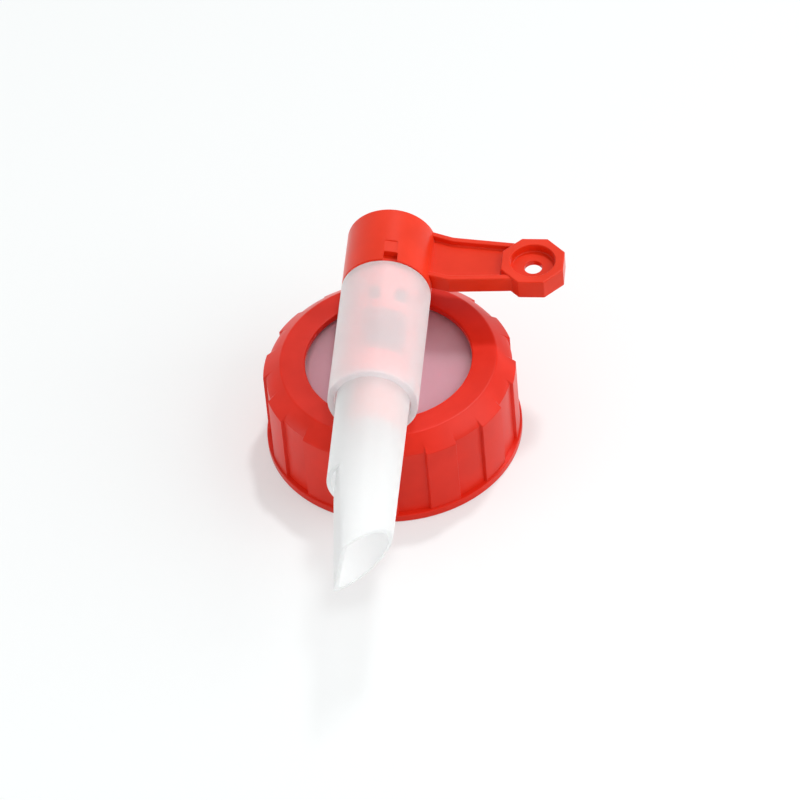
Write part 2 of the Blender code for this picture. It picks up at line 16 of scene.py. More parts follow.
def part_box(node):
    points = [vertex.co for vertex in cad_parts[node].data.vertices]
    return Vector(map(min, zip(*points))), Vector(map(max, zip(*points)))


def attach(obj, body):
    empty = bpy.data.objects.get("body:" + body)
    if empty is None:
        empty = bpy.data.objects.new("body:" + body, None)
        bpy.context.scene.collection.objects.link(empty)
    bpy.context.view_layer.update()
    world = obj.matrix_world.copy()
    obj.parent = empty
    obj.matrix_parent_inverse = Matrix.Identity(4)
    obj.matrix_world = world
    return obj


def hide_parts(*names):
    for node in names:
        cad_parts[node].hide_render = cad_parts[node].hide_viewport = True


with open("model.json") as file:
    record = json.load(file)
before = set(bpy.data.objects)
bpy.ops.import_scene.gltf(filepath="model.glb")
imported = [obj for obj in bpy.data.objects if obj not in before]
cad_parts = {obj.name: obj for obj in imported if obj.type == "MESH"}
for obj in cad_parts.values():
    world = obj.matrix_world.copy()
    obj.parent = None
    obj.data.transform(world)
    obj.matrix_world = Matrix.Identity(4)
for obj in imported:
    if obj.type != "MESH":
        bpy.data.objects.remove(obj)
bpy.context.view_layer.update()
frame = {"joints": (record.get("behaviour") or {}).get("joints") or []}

bl_info = {
    "name": "Jerrycan Tap",
    "version": (1, 0, 0),
    "blender": (4, 5, 0),
    "location": "3D View > Sidebar > Tap",
    "description": "Builds a screw cap tap with a lever, a clear barrel and a pouring spout",
    "category": "Object",
}

MM = 0.001
JOINTS = {joint["name"]: joint for joint in frame["joints"]}
NECK = Vector(JOINTS["cap_turn"]["pos_m"]) * Vector((1, 1, 0))
BARREL_AXIS = Vector(JOINTS["lever_turn"]["pos_m"])
AXIS_HEIGHT = BARREL_AXIS.z
PORT_TURN = math.radians(11.5)

# The two air ports beside the liquid window: turn from it, half width, back end and front end
AIR_PORTS = [(side * math.radians(20.7), 1.6 * MM, -4.0 * MM, 0.6 * MM) for side in (-1, 1)]

# The clearance between separate mouldings, and how far a cutter stands past what it cuts
FIT = 0.3 * MM
REACH = 4.0 * MM
FACETS = 144

CAP_LOW, CAP_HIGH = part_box("screw_cap")

# Frames of the pieces; the barrel's has x to the side, y away from the can and z forward
NECK_FRAME = Matrix.Translation(NECK)
PEDESTAL_FRAME = Matrix.Translation((BARREL_AXIS.x, BARREL_AXIS.y, 0))
LEVER_FRAME = Matrix.Translation(BARREL_AXIS)
BARREL_FRAME = LEVER_FRAME @ Matrix.Rotation(math.pi / 2, 4, "X")
PORT_FRAME = BARREL_FRAME @ Matrix.Rotation(-PORT_TURN, 4, "Z")


def length(name, description, millimetres):
    """Return a length property with its default given in millimetres."""
    return bpy.props.FloatProperty(
        name=name, description=description, default=millimetres * MM, min=0.0, precision=5,
        unit="LENGTH")


def angle(name, description, degrees):
    """Return an angle property with its default given in degrees."""
    return bpy.props.FloatProperty(
        name=name, description=description, default=math.radians(degrees), subtype="ANGLE")


def level(name, description, default):
    """Return a strength, power or share as a property."""
    return bpy.props.FloatProperty(name=name, description=description, default=default, min=0.0)


def hex_colour(text):
    """Turn an sRGB hex value into linear red, green and blue."""
    channels = [int(text[index:index + 2], 16) / 255 for index in (1, 3, 5)]
    return tuple(c / 12.92 if c <= 0.04045 else ((c + 0.055) / 1.055) ** 2.4 for c in channels)


def group(kind):
    """Return a group of settings as a property."""
    return bpy.props.PointerProperty(type=kind)


def colour(name, description, text):
    """Return a colour property with its default given as an sRGB hex value."""
    return bpy.props.FloatVectorProperty(
        name=name, description=description, default=hex_colour(text), min=0.0, max=1.0,
        subtype="COLOR")


class CapSizes(bpy.types.PropertyGroup):
    """Sizes of the screw cap and its gasket."""

    foot_radius: length("Foot radius", "Radius of the lip at the open end", 35.5)
    height: length("Height", "Height of the cap", (CAP_HIGH - CAP_LOW).z / MM)
    grip_radius: length("Grip radius", "Radius over the raised grip panels", 34.9)
    grip_depth: length("Grip depth", "How far the sunk panels lie in", 0.9)
    grip_count: bpy.props.IntProperty(
        name="Grip count", description="Number of sunk panels", default=12, min=2)
    grip_turn: angle("Grip turn", "Where the first sunk panel starts", 6.6)
    grip_round: length("Grip round", "How far a panel's side wall runs each way", 0.2)
    lip_height: length("Lip height", "Height of the lip at the open end", 2.4)
    top_radius: length("Top radius", "Outer radius of the flat top ring", 29.9)
    hole_radius: length("Hole radius", "Radius of the open centre", 23.0)
    shoulder_drop: length("Shoulder drop", "Height of the sloping shoulder", 4.4)
    top_wall: length("Top wall", "Thickness of the top ring", 2.0)
    bore_radius: length("Bore radius", "Radius at the root of the thread", 31.0)
    bead_radius: length("Bead radius", "Radius of the bead that holds the flange", 28.5)
    bead_top: length("Bead top", "Height at which the bead ends", 23.1)
    seat_room: length("Seat room", "Room of the flange's seat behind the bead", 0.9)
    thread_start: length("Thread start", "Height at which the thread starts", 2.6)
    thread_turns: level("Thread turns", "Number of turns of the thread", 2.6)
    thread_pitch: length("Thread pitch", "Rise of the thread in one turn", 6.0)
    thread_height: length("Thread height", "How far the crest stands in", 1.35)
    thread_width: length("Thread width", "Width of the thread's crest", 1.5)


class BodySizes(bpy.types.PropertyGroup):
    """Sizes of the clear body."""

    disc_radius: length("Flange radius", "Radius of the flange disc", 29.0)
    disc_top: length("Flange top", "Height of the flange's upper face", 25.9)
    disc_thickness: length("Flange thickness", "Thickness of the flange disc", 2.5)
    ring_radius: length("Locating ring radius", "Outer radius of the ring under the flange", 24.0)
    ring_depth: length("Locating ring depth", "How far the ring reaches down", 3.4)
    ring_wall: length("Locating ring wall", "Thickness of the ring", 1.4)
    barrel_radius: length("Barrel radius", "Outer radius of the barrel", 12.35)
    barrel_bore: length("Barrel bore", "Radius of the barrel's bore", 10.3)
    barrel_back: length("Barrel back", "Where the barrel ends behind the neck's axis", 12.5)
    barrel_front: length("Barrel front", "Where the barrel ends before the neck's axis", 30.4)
    pedestal_half: length("Pedestal half width", "Half the width of the foot under the barrel", 8.6)
    pedestal_front: length("Pedestal front", "How far the foot reaches forward", 20.5)
    pedestal_back: length("Pedestal back", "How far the foot reaches back", 5.6)


class PlugSizes(bpy.types.PropertyGroup):
    """Sizes of the plug, its end cap and its lever."""

    radius: length("Plug radius", "Radius of the plug in the barrel", 10.0)
    front: length("Plug front", "Where the plug's shoulder lies", 27.5)
    bore_radius: length("Plug bore", "Radius of the liquid channel", 6.85)
    spigot_radius: length("Spigot radius", "Radius of the spigot in the spout", 8.25)
    spigot_flat: length("Spigot flat", "From the axis to the spigot's flat", 5.6)
    spigot_front: length("Spigot front", "Where the spigot ends", 44.0)
    spigot_wall: length("Spigot wall", "Wall between the flat and the liquid channel", 1.4)
    window_back: length("Window back", "Where the liquid window starts", 4.2)
    window_front: length("Window front", "Where the liquid window ends", 19.7)
    window_half: length("Window half width", "Half the width of the liquid window", 5.75)
    cap_front: length("End cap front", "Where the end cap starts behind the neck's axis", 12.8)
    cap_length: length("End cap length", "Length of the end cap", 19.9)
    cap_wall: length("End cap wall", "Wall of the hollow end cap", 2.1)
    notch_half: length("Notch half width", "Half the width of the end cap's notch", 1.95)
    notch_length: length("Notch length", "How far the notch runs back", 3.2)
    notch_depth: length("Notch depth", "Depth of the notch", 1.9)
    notch_turn: angle("Notch turn", "Turn of the notch back from the ports", 3.0)
    mark_start: length("Mark start", "Where the mark behind the notch starts", 3.8)
    mark_end: length("Mark end", "Where the sunk mark ends", 7.6)
    mark_depth: length("Mark depth", "Depth of the sunk mark", 0.25)
    lever_reach: length("Lever reach", "From the barrel's axis to the head's middle", 40.05)
    lever_line: length("Lever line", "How far the lever lies behind the neck's axis", 21.1)
    lever_top: length("Lever top", "Height of the head over the barrel's axis", 4.4)
    head_across: length("Head across flats", "Width of the eight sided head", 17.2)
    head_thickness: length("Head thickness", "Thickness of the head", 6.0)
    head_web: length("Head web", "Thickness of the web round the hole", 1.7)
    eye_radius: length("Eye recess radius", "Radius of the recess round the hole", 6.2)
    eye_depth: length("Eye recess depth", "Depth of that recess", 2.6)
    hole_radius: length("Hole radius", "Radius of the hole in the head", 2.45)
    arm_thickness: length("Arm thickness", "Thickness of the arm", 5.0)
    arm_floor: length("Arm floor depth", "How far the arm's web lies under its rims", 1.6)
    arm_rim: length("Arm rim", "Width of the rims along the arm", 1.7)
    arm_end: length("Arm end", "Width of the arm at its head", 13.2)
    arm_waist: length("Arm waist", "Width of the arm near the end cap", 16.7)
    arm_sweep: angle("Arm sweep", "Slant of the arm's middle line", 2.2)
    arm_root: length("Arm root", "From the barrel's axis to the arm's root", 11.35)
    arm_shoulder: length("Arm shoulder", "From the arm's root to its waist", 6.0)
    arm_draw: length("Arm draw", "How far the near side draws in at the root", 1.7)
    arm_flare: length("Arm flare", "How far the far side flares out at the root", 2.2)
    edge_round: length("Edge round", "Radius of the moulded edges", 0.35)


class SpoutSizes(bpy.types.PropertyGroup):
    """Sizes of the spout tube."""

    root: length("Root", "Where the spout starts before the neck's axis", 27.8)
    step: length("Step", "Where the air channel opens", 60.5)
    tip: length("Tip", "Where the slanted mouth ends", 92.7)
    root_radius: length("Root radius", "Outer radius at the root", 9.95)
    tip_radius: length("Tip radius", "Outer radius at the tip", 9.6)
    channel_radius: length("Channel radius", "Radius of the channels", 8.55)
    flat: length("Flat", "From the axis to the flat side at the step", 7.2)
    flat_slope: angle("Flat slope", "How the flat side draws in towards the tip", 5.7)
    partition: length("Partition", "Wall between the two channels", 1.3)
    mouth_slant: angle("Mouth slant", "Slant of the mouth against the axis", 45.0)
    lip_round: length("Lip round", "Radius of the mouth's lip", 0.4)


class FinishColours(bpy.types.PropertyGroup):
    """Colours of the plastics, with red light painted into the body and the flange, and the lamp
    light that passes them.
    """

    cap_red: colour("Cap red", "Masterbatch colour of the cap", "#DD240A")
    plug_red: colour("Plug red", "Masterbatch colour of the plug and lever", "#E2300D")
    # Painted light: the faint pink in this white stands in for red light from the red plug inside
    # the barrel
    clear: colour("Body", "Natural polypropylene of the body", "#FEF6F8")
    spout: colour("Spout", "Natural polyethylene of the spout", "#F9FBFB")
    foam: colour("Gasket", "Closed cell foam of the gasket", "#B9B8B2")
    # Painted light: this pink stands in for red light from the cap, not a colour of the clear
    # plastic
    flange: colour("Flange", "The flange, which takes up the cap's red", "#FDCBD7")
    # Painted light: this pink tint of the passing lamp light stands in for red light from the cap
    flange_red_light_pass: colour("Flange glow", "Lamp light that passes the flange", "#FFBCCB")
    barrel_glow: colour("Barrel glow", "Lamp light that passes the barrel", "#DADADA")
    spout_glow: colour("Spout glow", "Lamp light that passes the spout", "#EDEDED")


class StageSettings(bpy.types.PropertyGroup):
    """The floor, the lamps and the camera."""

    floor: colour("Floor", "Colour of the paper under the tap", "#F7FBFB")
    floor_bounce: level("Floor bounce", "Share of its colour that the floor sheds on the tap", 0.78)
    floor_lift: level("Floor lift", "Share of plain white where the floor shows", 0.38)
    key_strength: level("Key", "Strength of the key lamp", 0.95)
    key_angle: angle("Key angle", "How wide the key lamp looks from the tap", 6.0)
    sky_strength: level("Sky", "Strength of the soft light all round", 0.82)
    sky_lean: bpy.props.FloatVectorProperty(
        name="Sky lean", description="How the soft light leans along each axis",
        default=(0.08, 0.12, -0.35))
    side_watts: level("Side", "Power of the soft lamp on the lever's side", 1.5)
    fill_watts: level("Fill", "Power of the low lamp on the other side", 0.5)
    azimuth: angle("Camera azimuth", "Where the camera stands round the tap", 8.68)
    elevation: angle("Camera elevation", "Height of the camera over the horizon", 45.38)
    roll: angle("Camera roll", "Turn of the camera about its own axis", -5.44)
    distance: length("Camera distance", "From the camera to its target", 1799.0)
    aim_right: length("Aim to the right", "How far right of the neck's axis the camera aims", 2.13)
    aim_up: length("Aim up", "How far over the neck's foot the camera aims", 8.07)
    lens: bpy.props.FloatProperty(
        name="Lens", description="Focal length on a 36 mm sensor", default=291.2, unit="CAMERA")


class TapSettings(bpy.types.PropertyGroup):
    """All settings of the tap."""

    cap: group(CapSizes)
    body: group(BodySizes)
    plug: group(PlugSizes)
    spout: group(SpoutSizes)
    colours: group(FinishColours)
    stage: group(StageSettings)


# Outlines and profiles, as points in a plane


def corner_arc(before, corner, after, radius, facets=4):
    """Return the points of the arc that rounds one corner of an outline."""
    corner = Vector(corner)
    back = (Vector(before) - corner).normalized()
    on = (Vector(after) - corner).normalized()
    half = back.angle(on) / 2
    middle = corner + (back + on).normalized() * (radius / math.sin(half))
    start = corner + back * (radius / math.tan(half)) - middle
    sweep = start.angle_signed(corner + on * (radius / math.tan(half)) - middle)
    steps = [index / facets for index in range(facets + 1)]
    return [tuple(middle + Matrix.Rotation(-sweep * step, 2) @ start) for step in steps]


def rounded(outline, facets=4):
    """Return an outline with an arc at each corner that gives a radius as (x, y, radius)."""
    points = []
    for index, corner in enumerate(outline):
        if len(corner) == 2:
            points.append(corner)
            continue
        before = outline[index - 1][:2]
        after = outline[(index + 1) % len(outline)][:2]
        points += corner_arc(before, corner[:2], after, corner[2], facets)
    return points


def divided(profile, spacing):
    """Return a closed profile with points no further apart than spacing(point) allows."""
    points = []
    for index, start in enumerate(profile):
        end = Vector(profile[(index + 1) % len(profile)])
        start = Vector(start)
        count = max(1, math.ceil((end - start).length / spacing((start + end) / 2)))
        points += [tuple(start.lerp(end, step / count)) for step in range(count)]
    return points


def polar(radius, turn):
    """Return the point at a radius and a turn."""
    return radius * math.cos(turn), radius * math.sin(turn)


def block(left, right, low, high, radius, facets=4):
    """Return a rectangle with round corners."""
    corners = [(left, low), (right, low), (right, high), (left, high)]
    return rounded([(*corner, radius) for corner in corners], facets)


def quarter(radius, facets=4):
    """Return (inset, drop) pairs down a quarter round edge, from its face to its side."""
    turns = [math.pi / 2 * index / facets for index in range(facets + 1)]
    return [(radius * (1 - math.sin(turn)), radius * (1 - math.cos(turn))) for turn in turns]


def bend(side, end, across, along, radius, facets=4):
    """Return the profile of a quarter round between a side and an end, from the top down.

    It runs across from the side, out for 1 and in for -1, and along from the end, up or down.
    """
    edge = quarter(radius, facets)
    points = [(side + across * inset, end + along * drop) for inset, drop in edge]
    return points if along < 0 else points[::-1]


def both_edges(low, high, radius):
    """Return (inset, height) levels from low to high, with a round at each end."""
    return (bend(0.0, high, 1, -1, radius) + bend(0.0, low, 1, 1, radius))[::-1]


# Meshes


def add_object(name, data):
    """Link a mesh, a lamp or a camera to the scene as an object."""
    item = bpy.data.objects.new(name, data)
    bpy.context.scene.collection.objects.link(item)
    return item


def skin(name, rings, place, looped=False):
    """Stretch a closed skin over rings of points; looped joins the last ring to the first."""
    count = len(rings[0])
    starts = [index * count for index in range(len(rings))]
    spans = list(zip(starts, starts[1:]))
    if looped:
        spans.append((starts[-1], 0))
    faces = [(a + i, a + (i + 1) % count, b + (i + 1) % count, b + i)
             for a, b in spans for i in range(count)]
    if not looped:
        faces.append(tuple(reversed(range(count))))
        faces.append(tuple(range(starts[-1], starts[-1] + count)))
    mesh = bpy.data.meshes.new(name)
    mesh.from_pydata([tuple(point) for ring in rings for point in ring], [], faces)
    work = bmesh.new()
    work.from_mesh(mesh)
    bmesh.ops.recalc_face_normals(work, faces=work.faces)
    work.to_mesh(mesh)
    work.free()
    mesh.transform(place)
    return add_object(name, mesh)


def turned(name, profile, place, facets=128, looped=False, phase=0.0):
    """Turn a profile of (radius, height) about the place's Z axis."""
    turns = [2 * math.pi * (index + phase) / facets for index in range(facets)]
    rings = [[(*polar(radius, turn), height) for turn in turns] for radius, height in profile]
    return skin(name, rings, place, looped)


def raised(name, outline_at, levels, place):
    """Raise an outline through (inset, height) levels into a solid."""
    rings = [[(x, y, height) for x, y in outline_at(inset)] for inset, height in levels]
    return skin(name, rings, place)


def prism(name, outline, start, end, place):
    """Raise an outline into a straight solid between two levels."""
    return skin(name, [[(x, y, height) for x, y in outline] for height in (start, end)], place)


def carve(item, operation, *tools):
    """Join or cut a piece with other solids, and use them up."""
    for tool in tools:
        boolean = item.modifiers.new(tool.name, "BOOLEAN")
        boolean.operation = operation
        boolean.object = tool
    bpy.context.view_layer.update()
    evaluated = item.evaluated_get(bpy.context.evaluated_depsgraph_get())
    mesh = bpy.data.meshes.new_from_object(evaluated)
    item.modifiers.clear()
    item.data = mesh
    for tool in tools:
        bpy.data.objects.remove(tool, do_unlink=True)
    return item


def dress(item, material, body, node):
    """Shade a finished piece, give it its material, and let it ride in the node's place."""
    mesh = item.data
    work = bmesh.new()
    work.from_mesh(mesh)
    bmesh.ops.remove_doubles(work, verts=work.verts, dist=0.002 * MM)
    work.to_mesh(mesh)
    work.free()
    mesh.name = item.name
    mesh.materials.clear()
    mesh.materials.append(material)
    mesh.shade_smooth()
    mesh.set_sharp_from_angle(angle=math.radians(32))
    weighted = item.modifiers.new("Even shading", "WEIGHTED_NORMAL")
    weighted.keep_sharp = True
    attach(item, body)
    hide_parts(node)


# Materials


def add_node(tree, kind, inputs=None, **settings):
    """Add a shader node; each input is a value, a colour or the socket it is linked from."""
    node = tree.nodes.new(f"ShaderNode{kind}")
    for name, value in settings.items():
        setattr(node, name, value)
    for name, value in (inputs or {}).items():
        socket = node.inputs[name]
        if isinstance(value, bpy.types.NodeSocket):
            tree.links.new(value, socket)
        else:
            socket.default_value = (*value, 1.0) if socket.type == "RGBA" else value
    return node


def new_material(name):
    """Return an empty node material, its node tree and the socket of the place on the object."""
    material = bpy.data.materials.new(name)
    material.use_nodes = True
    tree = material.node_tree
    tree.nodes.clear()
    return material, tree, add_node(tree, "TexCoord").outputs["Object"]


def show(tree, shader):
    """Link a shader to the material's output."""
    add_node(tree, "OutputMaterial", {"Surface": shader.outputs[0]})


def per_metre(millimetres):
    """Return the texture scale at which a pattern repeats once in a length."""
    return 1 / (millimetres * MM)


def noise(tree, place, millimetres, detail):
    """Return the socket of a noise whose pattern repeats about once in a length."""
    return add_node(tree, "TexNoise", {
        "Vector": place, "Scale": per_metre(millimetres), "Detail": detail}).outputs["Fac"]


def blend(tree, factor, first, second):
    """Return the socket of a mix between two ends, each a colour or a socket."""
    return add_node(tree, "Mix", {
        "Factor": factor, "A": first, "B": second}, data_type="RGBA").outputs[2]


def mapped(tree, value, start, end, low=0.0, high=1.0):
    """Return the socket of a value mapped from one range to another."""
    return add_node(tree, "MapRange", {
        "Value": value, "From Min": start, "From Max": end,
        "To Min": low, "To Max": high}).outputs["Result"]


def calculated(tree, operation, first, second):
    """Return the socket of a calculation with two values or sockets."""
    return add_node(tree, "Math", {0: first, 1: second}, operation=operation).outputs[0]


def relief(tree, height, strength, millimetres, finer=None):
    """Return the normal of a bump, laid over that of a finer one where it is given."""
    bump = add_node(tree, "Bump", {
        "Height": height, "Strength": strength, "Distance": millimetres * MM})
    if finer:
        tree.links.new(finer, bump.inputs["Normal"])
    return bump.outputs["Normal"]


def scaled(tint, share):
    """Return a colour with each channel scaled by a share."""
    return tuple(channel * share for channel in tint)


def moulded_red(name, tint, roughness):
    """High density polyethylene with red masterbatch, injection moulded in a spark eroded tool.

    It gives a waxy satin face, slightly paler where the melt flowed, with a very fine grain.
    """
    material, tree, place = new_material(name)
    flow = noise(tree, place, 14, 3.0)
    paler = tuple(min(1.0, channel * 1.12 + 0.004) for channel in tint)
    # The spark eroded grain is about 0.1 mm; it is drawn at 0.45 mm so that it shows
    grain = relief(tree, noise(tree, place, 0.45, 2.0), 0.12, 0.05)
    show(tree, add_node(tree, "BsdfPrincipled", {
        "Base Color": blend(tree, mapped(tree, flow, 0.35, 0.65), tint, paler),
        "Roughness": mapped(tree, flow, 0.3, 0.7, roughness - 0.04, roughness + 0.05),
        "IOR": 1.54, "Specular IOR Level": 0.22, "Sheen Weight": 0.3, "Sheen Roughness": 0.25,
        "Subsurface Weight": 0.12, "Subsurface Radius": (1.0, 0.25, 0.15),
        "Subsurface Scale": 1.2 * MM,
        "Normal": relief(tree, noise(tree, place, 9, 1.0), 0.25, 0.12, grain)}))
    return material


def let_lamps_through(tree, shader, share):
    """Show a milky wall that lets a share of the lamps' light pass to what stands behind it."""
    rays = add_node(tree, "LightPath")
    passing = add_node(tree, "BsdfTransparent", {"Color": share})
    show(tree, add_node(tree, "MixShader", {
        0: rays.outputs["Is Shadow Ray"], 1: shader.outputs["BSDF"], 2: passing.outputs[0]}))


def clear_body(name, colours):
    """Natural polypropylene, injection moulded: milky, with a smooth face and a hazy depth."""
    material, tree, place = new_material(name)
    milky = blend(tree, noise(tree, place, 11, 3.0), colours.clear, scaled(colours.clear, 0.93))
    # Painted light: the flange's pink colour, and the pink tint of the lamp light that passes it,
    # stand in for red light that the cap round it sheds into the flange
    height = add_node(tree, "SeparateXYZ", {0: place}).outputs["Z"]
    barrel = mapped(tree, height, 27 * MM, 31 * MM)
    shader = add_node(tree, "BsdfPrincipled", {
        "Base Color": blend(tree, barrel, colours.flange, milky),
        "Roughness": 0.4, "IOR": 1.35, "Specular IOR Level": 0.25,
        "Transmission Weight": 0.6, "Sheen Weight": 0.7, "Sheen Roughness": 0.5,
        "Subsurface Weight": 1.0, "Subsurface Radius": (1.0, 1.0, 1.0),
        "Subsurface Scale": 5.0 * MM,
        "Normal": relief(tree, noise(tree, place, 4, 1.0), 0.2, 0.05)})
    glow = blend(tree, barrel, colours.flange_red_light_pass, colours.barrel_glow)
    let_lamps_through(tree, shader, glow)
    return material


def natural_white(name, tint, glow):
    """Natural low density polyethylene, injection moulded: a waxy white with a glow."""
    material, tree, place = new_material(name)
    shader = add_node(tree, "BsdfPrincipled", {
        "Base Color": blend(tree, noise(tree, place, 12, 3.0), tint, scaled(tint, 0.96)),
        "Roughness": 0.45, "IOR": 1.51, "Transmission Weight": 0.25,
        "Specular IOR Level": 0.3, "Sheen Weight": 0.8, "Sheen Roughness": 0.5,
        "Subsurface Weight": 1.0, "Subsurface Radius": (1.0, 1.0, 1.0),
        "Subsurface Scale": 8.0 * MM,
        "Normal": relief(tree, noise(tree, place, 5, 1.0), 0.2, 0.06)})
    let_lamps_through(tree, shader, glow)
    return material


def sealing_foam(name, tint):
    """Closed cell polyethylene foam, cut from sheet: matt, with a skin of fine cells."""
    material, tree, place = new_material(name)
    # The cells are 0.4 mm across
    cells = add_node(tree, "TexVoronoi", {
        "Vector": place, "Scale": per_metre(0.4)}).outputs["Distance"]
    show(tree, add_node(tree, "BsdfPrincipled", {
        "Base Color": blend(tree, cells, tint, scaled(tint, 0.8)), "Roughness": 0.85, "IOR": 1.5,
        "Normal": relief(tree, cells, 0.5, 0.1)}))
    return material


def background_rays(tree, *kinds):
    """Return the socket that is 1 for camera rays and the other kinds that show the background."""
    rays = add_node(tree, "LightPath")
    seen = rays.outputs["Is Camera Ray"]
    for kind in kinds:
        seen = calculated(tree, "MAXIMUM", seen, rays.outputs[f"Is {kind} Ray"])
    return seen


def stage_paper(name, stage, covered):
    """White background paper, lifted towards plain white where it shows outside the cap's bore."""
    material, tree, place = new_material(name)
    seen = background_rays(tree, "Glossy", "Transmission")
    away = add_node(tree, "VectorMath", {0: place, 1: tuple(NECK)}, operation="DISTANCE")
    outside = calculated(tree, "GREATER_THAN", away.outputs["Value"], covered)
    shown = calculated(tree, "MULTIPLY", seen, outside)
    paper = blend(tree, seen, scaled(stage.floor, stage.floor_bounce), stage.floor)
    matt = add_node(tree, "BsdfDiffuse", {"Color": paper})
    white = add_node(tree, "Emission", {"Color": (1.0, 1.0, 1.0), "Strength": 1.0})
    show(tree, add_node(tree, "MixShader", {
        0: calculated(tree, "MULTIPLY", shown, stage.floor_lift),
        1: matt.outputs[0], 2: white.outputs[0]}))
    return material


# The screw cap


def bore_span(cap):
    """Return the heights between which the wall of the bore is straight."""
    return 0.7 * MM, cap.bead_top - 1.6 * MM


def cap_profile(cap):
    """Return the closed section of the cap; a corner is its radius, its height and its round."""
    inner_top = cap.height - cap.top_wall
    bore_low, bore_high = bore_span(cap)
    seat = cap.bead_radius + cap.seat_room
    return rounded([
        (cap.hole_radius, cap.height, 0.5 * MM),
        (cap.top_radius, cap.height, 1.0 * MM),
        (cap.grip_radius, cap.height - cap.shoulder_drop, 0.5 * MM),
        (cap.grip_radius, cap.lip_height + 0.05 * MM, 0.12 * MM),
        (cap.foot_radius, cap.lip_height, 0.3 * MM),
        (cap.foot_radius, 0.0, 0.5 * MM),
        (cap.bore_radius + 0.5 * MM, 0.0, 0.25 * MM),
        (cap.bore_radius, bore_low, 0.3 * MM),
        (cap.bore_radius, bore_high, 0.3 * MM),
        (cap.bead_radius, cap.bead_top - 0.8 * MM, 0.25 * MM),
        (cap.bead_radius, cap.bead_top, 0.2 * MM),
        (seat, cap.bead_top, 0.2 * MM),
        (seat, inner_top, 0.3 * MM),
        (cap.hole_radius, inner_top, 0.4 * MM),
    ])


def smooth(value, low, high):
    """Return an eased step from 0 at low to 1 at high."""
    share = np.clip((value - low) / (high - low), 0, 1)
    return share * share * (3 - 2 * share)


def sunk_panels(cap, radius, height, turn):
    """Return how far the grip panels draw a point of the cap's outer wall in."""
    step = 2 * math.pi / cap.grip_count
    across = np.mod(turn - cap.grip_turn, step)
    edge = cap.grip_round / cap.grip_radius
    inside = smooth(across, -edge, edge) * (1 - smooth(across, step / 2 - edge, step / 2 + edge))
    inside = np.maximum(inside, smooth(across, step - edge, step + edge))
    depth = radius - (cap.grip_radius - cap.grip_depth)
    soft = 0.08 * MM
    depth = (depth + np.sqrt(depth * depth + soft * soft)) / 2
    return depth * inside * smooth(height, cap.lip_height + 0.02 * MM, cap.lip_height + 0.2 * MM)


def thread_rise(cap, height, turn):
    """Return how far the thread stands in at a point of the cap's bore."""
    share = turn / (2 * math.pi)
    run_out = 0.06
    rise = height - cap.thread_start
    total = share + np.round(rise / cap.thread_pitch - share)
    away = np.abs(rise - cap.thread_pitch * total)
    flank = cap.thread_width / 2 + cap.thread_height * 0.6
    last = cap.thread_turns
    run = smooth(total, 0.0, run_out) * (1 - smooth(total, last - run_out, last))
    return cap.thread_height * (1 - smooth(away, cap.thread_width / 2, flank)) * run


class TAP_OT_screw_cap(bpy.types.Operator):
    """Make the screw cap with its grip panels and inner thread"""

    bl_idname = "tap.screw_cap"
    bl_label = "Screw Cap"

    def execute(self, context):
        settings = context.scene.jerrycan_tap
        cap = settings.cap
        grip_top = cap.height - cap.shoulder_drop
        bore_low, bore_high = bore_span(cap)
        margin = 0.2 * MM

        def spacing(point):
            """Keep the rings close on the thread and at both ends of the grip panels."""
            radius, height = point
            at_foot = height < cap.lip_height + 0.9 * MM
            at_head = grip_top < height < grip_top + 1.4 * MM
            at_thread = bore_low + margin < height < bore_high - margin
            if radius < cap.bore_radius + margin / 2 and at_thread:
                return 0.34 * MM
            if radius > cap.bore_radius + 2 * MM and (at_foot or at_head):
                return 0.12 * MM
            return 2.5 * MM

        profile = divided(cap_profile(cap), spacing)
        half = math.pi / cap.grip_count
        edge = cap.grip_round / cap.grip_radius
        # Places beside a panel's side wall, in shares of that wall's run each way
        near = [-1.6, -1.0, -0.5, 0.0, 0.5, 1.0, 1.6]
        count = 13
        turns = []
        for index in range(2 * cap.grip_count):
            first = cap.grip_turn + index * half
            turns += [first + edge * share for share in near]
            turns += [first + half * share / count for share in range(1, count)]
        turns = np.array(sorted(turns))
        rings = []
        for radius, height in profile:
            reach = np.full(len(turns), radius)
            if radius > cap.bore_radius + 1.2 * MM and height > cap.lip_height - 0.1 * MM:
                reach = reach - sunk_panels(cap, reach, height, turns)
            if radius < cap.bore_radius + margin / 4 and bore_low < height < bore_high - margin / 2:
                reach = reach - thread_rise(cap, height, turns)
            heights = np.full(len(turns), height)
            rings.append(np.stack([reach * np.cos(turns), reach * np.sin(turns), heights], 1))
        item = skin("cap_shell", rings, NECK_FRAME, looped=True)
        red = moulded_red("red_hdpe_cap", settings.colours.cap_red, roughness=0.40)
        dress(item, red, "screw_cap", "screw_cap")
        return {"FINISHED"}


class TAP_OT_neck_gasket(bpy.types.Operator):
    """Make the foam ring under the flange"""

    bl_idname = "tap.neck_gasket"
    bl_label = "Neck Gasket"

    def execute(self, context):
        settings = context.scene.jerrycan_tap
        outer = settings.cap.bead_radius - FIT
        inner = settings.body.ring_radius + FIT
        low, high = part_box("neck_gasket")
        edge = 0.35 * MM
        profile = rounded([(inner, high.z, edge), (outer, high.z, edge),
                           (outer, low.z, edge), (inner, low.z, edge)])
        item = turned("foam_gasket", profile, NECK_FRAME, FACETS, looped=True)
        foam = sealing_foam("grey_foam_gasket", settings.colours.foam)
        dress(item, foam, "tap_body", "neck_gasket")
        return {"FINISHED"}


# The clear body


